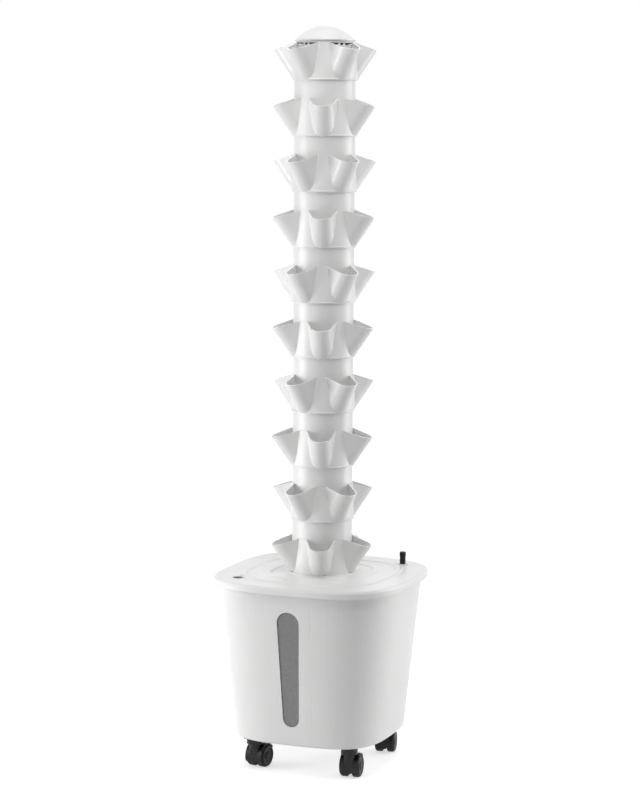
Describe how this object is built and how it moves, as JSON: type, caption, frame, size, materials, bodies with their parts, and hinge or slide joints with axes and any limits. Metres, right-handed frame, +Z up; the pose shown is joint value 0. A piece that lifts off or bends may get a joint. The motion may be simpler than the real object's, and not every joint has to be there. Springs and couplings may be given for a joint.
{
  "type": "tiered hydroponic system",
  "caption": "Vertical hydroponic tower: staggered planter rings with leaning pockets on sleeves, over a wheeled square water tank with a lid, sight window and pump.",
  "frame": {"origin": "on the floor, under the column's axis", "axes": "+Z up along the column, -Y towards the tank's sight window, +X to its right"},
  "size_m": [0.407, 0.407, 1.5334],
  "materials": {
    "white_gloss": "smooth moulded white",
    "tank_white": "moulded white, softly glossy",
    "pipe_white": "extruded pale plastic",
    "window_grey": "smoked translucent",
    "soft_rubber": "moulded soft black",
    "black_plastic": "fine texture",
    "rotor_blue": "moulded",
    "steel": "bright",
    "caster_black": "moulded black",
    "wheel_black": "hard black tread"
  },
  "bodies": {
    "base": {"tank": "tank_white", "sight_window": "window_grey", "window_gasket": "soft_rubber", "pump_housing": "black_plastic", "pump_cover": "black_plastic", "pump_shaft": "steel", "pump_feet": "soft_rubber", "caster_plate_1": "caster_black", "caster_plate_2": "caster_black", "caster_plate_3": "caster_black", "caster_plate_4": "caster_black", "caster_screws": "steel"},
    "column": {"tank_lid": "tank_white", "cable_grommet": "pipe_white", "power_socket": "black_plastic", "planter_ring_1": "white_gloss", "planter_ring_2": "white_gloss", "planter_ring_3": "white_gloss", "planter_ring_4": "white_gloss", "planter_ring_5": "white_gloss", "planter_ring_6": "white_gloss", "planter_ring_7": "white_gloss", "planter_ring_8": "white_gloss", "planter_ring_9": "white_gloss", "planter_ring_10": "white_gloss", "sleeve_1": "white_gloss", "sleeve_2": "white_gloss", "sleeve_3": "white_gloss", "sleeve_4": "white_gloss", "sleeve_5": "white_gloss", "sleeve_6": "white_gloss", "sleeve_7": "white_gloss", "sleeve_8": "white_gloss", "sleeve_9": "white_gloss", "riser_pipe_1": "pipe_white", "riser_pipe_2": "pipe_white", "riser_pipe_3": "pipe_white", "riser_coupling_1": "pipe_white", "riser_coupling_2": "pipe_white", "water_distributor": "white_gloss"},
    "cap": {"dome_cap": "white_gloss"},
    "impeller": {"pump_impeller": "rotor_blue"},
    "caster_1": {"caster_hood_1": "caster_black", "caster_axle_1": "steel"},
    "wheel_left_1": {"left_wheel_1": "wheel_black"},
    "wheel_right_1": {"right_wheel_1": "wheel_black"},
    "caster_2": {"caster_hood_2": "caster_black", "caster_axle_2": "steel"},
    "wheel_left_2": {"left_wheel_2": "wheel_black"},
    "wheel_right_2": {"right_wheel_2": "wheel_black"},
    "caster_3": {"caster_hood_3": "caster_black", "caster_axle_3": "steel"},
    "wheel_left_3": {"left_wheel_3": "wheel_black"},
    "wheel_right_3": {"right_wheel_3": "wheel_black"},
    "caster_4": {"caster_hood_4": "caster_black", "caster_axle_4": "steel"},
    "wheel_left_4": {"left_wheel_4": "wheel_black"},
    "wheel_right_4": {"right_wheel_4": "wheel_black"}
  },
  "joints": [
    {"name": "lid_lift", "type": "slide", "parent": "base", "child": "column", "axis": [0, 0, 1], "range_m": [0, 0.12]},
    {"name": "cap_lift", "type": "slide", "parent": "column", "child": "cap", "axis": [0, 0, 1], "range_m": [0, 0.08]},
    {"name": "impeller_spin", "type": "hinge", "parent": "base", "child": "impeller", "pos_m": [0, 0, 0.103], "axis": [0, 1, 0], "continuous": true},
    {"name": "caster_swivel_1", "type": "hinge", "parent": "base", "child": "caster_1", "pos_m": [-0.105, -0.105, 0.048], "axis": [0, 0, 1], "continuous": true},
    {"name": "left_roll_1", "type": "hinge", "parent": "caster_1", "child": "wheel_left_1", "pos_m": [-0.10218, -0.08722, 0.024], "axis": [-0.9877, 0.1564, 0], "continuous": true},
    {"name": "right_roll_1", "type": "hinge", "parent": "caster_1", "child": "wheel_right_1", "pos_m": [-0.10218, -0.08722, 0.024], "axis": [-0.9877, 0.1564, 0], "continuous": true},
    {"name": "caster_swivel_2", "type": "hinge", "parent": "base", "child": "caster_2", "pos_m": [0.105, -0.105, 0.048], "axis": [0, 0, 1], "continuous": true},
    {"name": "left_roll_2", "type": "hinge", "parent": "caster_2", "child": "wheel_left_2", "pos_m": [0.10312, -0.0871, 0.024], "axis": [-0.9945, -0.1045, 0], "continuous": true},
    {"name": "right_roll_2", "type": "hinge", "parent": "caster_2", "child": "wheel_right_2", "pos_m": [0.10312, -0.0871, 0.024], "axis": [-0.9945, -0.1045, 0], "continuous": true},
    {"name": "caster_swivel_3", "type": "hinge", "parent": "base", "child": "caster_3", "pos_m": [0.105, 0.105, 0.048], "axis": [0, 0, 1], "continuous": true},
    {"name": "left_roll_3", "type": "hinge", "parent": "caster_3", "child": "wheel_left_3", "pos_m": [0.10157, 0.12267, 0.024], "axis": [-0.9816, -0.1908, 0], "continuous": true},
    {"name": "right_roll_3", "type": "hinge", "parent": "caster_3", "child": "wheel_right_3", "pos_m": [0.10157, 0.12267, 0.024], "axis": [-0.9816, -0.1908, 0], "continuous": true},
    {"name": "caster_swivel_4", "type": "hinge", "parent": "base", "child": "caster_4", "pos_m": [-0.105, 0.105, 0.048], "axis": [0, 0, 1], "continuous": true},
    {"name": "left_roll_4", "type": "hinge", "parent": "caster_4", "child": "wheel_left_4", "pos_m": [-0.10437, 0.12299, 0.024], "axis": [-0.9994, 0.0349, 0], "continuous": true},
    {"name": "right_roll_4", "type": "hinge", "parent": "caster_4", "child": "wheel_right_4", "pos_m": [-0.10437, 0.12299, 0.024], "axis": [-0.9994, 0.0349, 0], "continuous": true}
  ]
}
